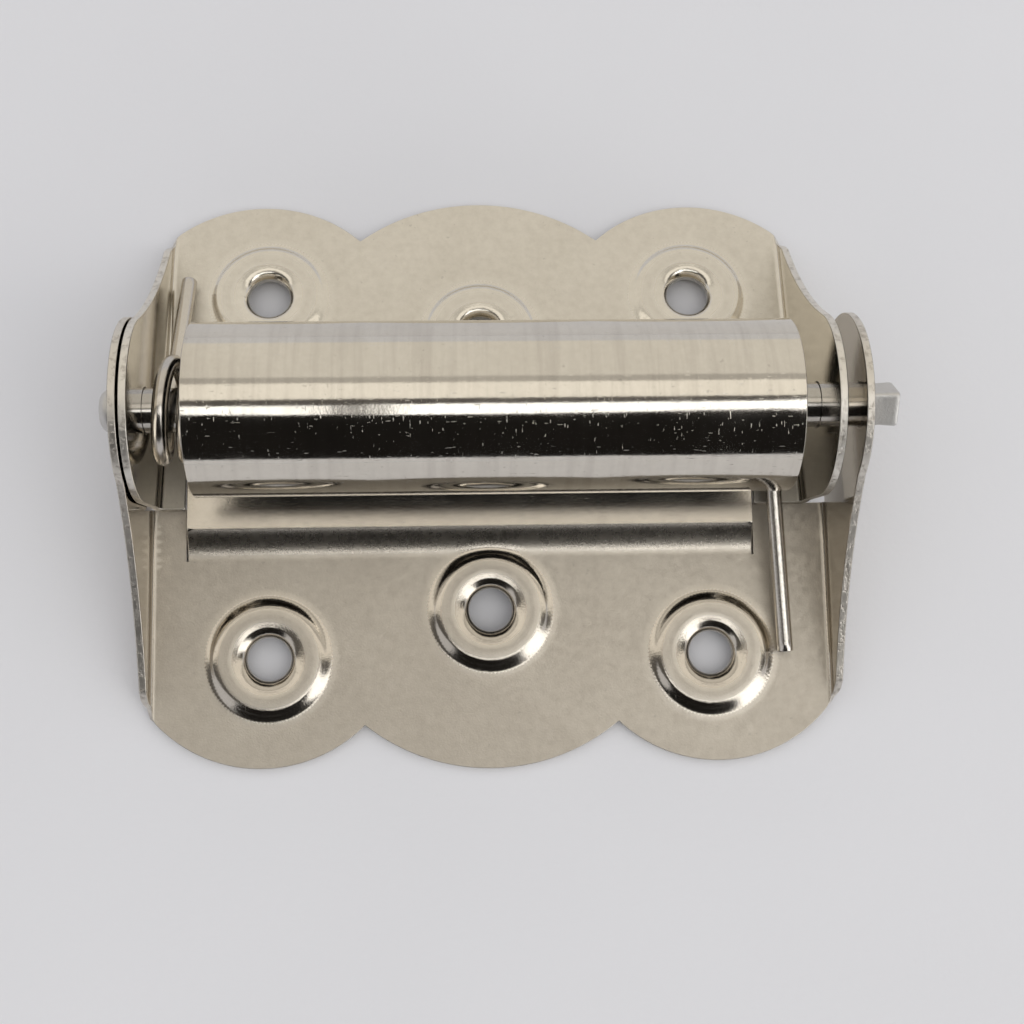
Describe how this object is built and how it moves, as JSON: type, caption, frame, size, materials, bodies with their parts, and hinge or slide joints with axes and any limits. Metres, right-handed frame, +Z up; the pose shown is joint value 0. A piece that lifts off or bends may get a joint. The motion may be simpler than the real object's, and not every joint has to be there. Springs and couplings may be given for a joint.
{
  "type": "spring hinge",
  "caption": "Self-closing door hinge: stamped leaves with scalloped edges and raised screw holes, nested ears on a pin, and a coil spring under a rolled cover.",
  "frame": {"origin": "middle of the footprint on the surface that the hinge lies on, with the pin axis 14.2 mm above it", "axes": "+X along the pin towards its squared end, +Y towards the narrow leaf, +Z up from the surface"},
  "size_m": [0.0844, 0.0666, 0.024],
  "materials": {
    "leaf_nickel": "nickel-plated steel, satin with fine scratches",
    "cover_nickel": "nickel-plated steel, bright",
    "spring_nickel": "nickel-plated spring wire, semi-bright",
    "pin_steel": "steel, dull where it is squeezed square"
  },
  "bodies": {
    "wide_leaf": {"wide_leaf": "leaf_nickel", "spring_cover": "cover_nickel", "hinge_pin": "pin_steel", "torsion_spring": "spring_nickel"},
    "narrow_leaf": {"narrow_leaf": "leaf_nickel"}
  },
  "joints": [
    {"name": "fold", "type": "hinge", "parent": "wide_leaf", "child": "narrow_leaf", "pos_m": [-0.00135, 0.00376, 0.0142], "axis": [1, 0, 0], "range_deg": [0, 180], "stiffness_Nm_per_rad": 0.113, "deforming": ["torsion_spring"]}
  ]
}
